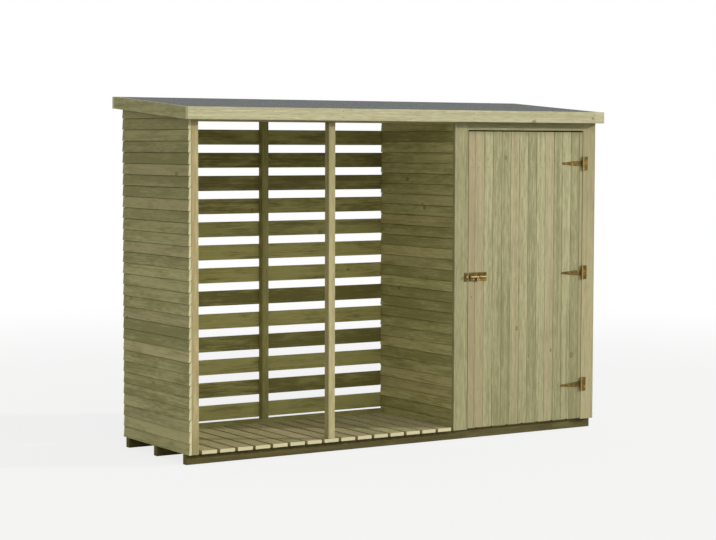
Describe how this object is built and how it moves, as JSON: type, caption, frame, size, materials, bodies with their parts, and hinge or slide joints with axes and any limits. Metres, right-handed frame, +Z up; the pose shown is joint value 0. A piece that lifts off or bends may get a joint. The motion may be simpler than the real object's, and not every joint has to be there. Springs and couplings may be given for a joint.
{
  "type": "log store",
  "caption": "Timber log store: open slatted bay with lapped-board sides, a tool cupboard with a hinged board door, and a felted roof that falls to the front.",
  "frame": {"origin": "on the ground under the middle of the roof's outline", "axes": "+X along the front towards the cupboard, +Y to the rear, +Z up"},
  "size_m": [2.52, 0.821, 1.7698],
  "materials": {
    "bearer_timber": "sawn softwood, pressure treated",
    "floor_timber": "sawn softwood, pressure treated",
    "frame_timber": "sawn softwood, pressure treated",
    "wall_boards": "sawn softwood, pressure treated",
    "rear_slat_timber": "sawn softwood, pressure treated",
    "door_frame_timber": "sawn softwood, pressure treated",
    "door_timber": "sawn softwood, pressure treated",
    "hardware": "yellow passivated steel, dulled",
    "roof_deck_timber": "sawn softwood, pressure treated",
    "roof_felt": "mineral bitumen felt",
    "roof_trim_timber": "sawn softwood, pressure treated"
  },
  "bodies": {
    "store": {"front_bearer": "bearer_timber", "middle_bearer": "bearer_timber", "rear_bearer": "bearer_timber", "bay_floor_slats": "floor_timber", "cupboard_floor_slats": "floor_timber", "left_front_post": "frame_timber", "left_rear_post": "frame_timber", "left_wall_rails": "frame_timber", "left_wall_cladding": "wall_boards", "divider_front_post": "frame_timber", "divider_rear_post": "frame_timber", "divider_rails": "frame_timber", "divider_cladding": "wall_boards", "right_front_post": "frame_timber", "right_rear_post": "frame_timber", "right_wall_rails": "frame_timber", "right_wall_cladding": "wall_boards", "middle_post": "frame_timber", "front_header": "frame_timber", "bay_rear_stud": "frame_timber", "bay_rear_rails": "frame_timber", "bay_rear_slats": "rear_slat_timber", "cupboard_rear_stud": "frame_timber", "cupboard_rear_rails": "frame_timber", "cupboard_rear_cladding": "wall_boards", "left_door_stile": "door_frame_timber", "right_door_stile": "door_frame_timber", "door_head": "door_frame_timber", "hinge_plates": "hardware", "latch_keep": "hardware", "roof_deck": "roof_deck_timber", "roof_felt": "roof_felt", "front_fascia": "roof_trim_timber", "rear_fascia": "roof_trim_timber", "left_barge_board": "roof_trim_timber", "right_barge_board": "roof_trim_timber"},
    "door": {"door_boards": "door_timber", "door_ledges": "door_timber", "door_braces": "door_timber", "hinge_straps": "hardware", "latch_plate": "hardware"},
    "bolt": {"latch_bolt": "hardware"}
  },
  "joints": [
    {"name": "door_hinge", "type": "hinge", "parent": "store", "child": "door", "pos_m": [1.1485, -0.372, 0.848], "axis": [0, 0, 1], "range_deg": [0, 180]},
    {"name": "bolt_slide", "type": "slide", "parent": "door", "child": "bolt", "axis": [-1, 0, 0], "range_m": [0, 0.03]}
  ]
}
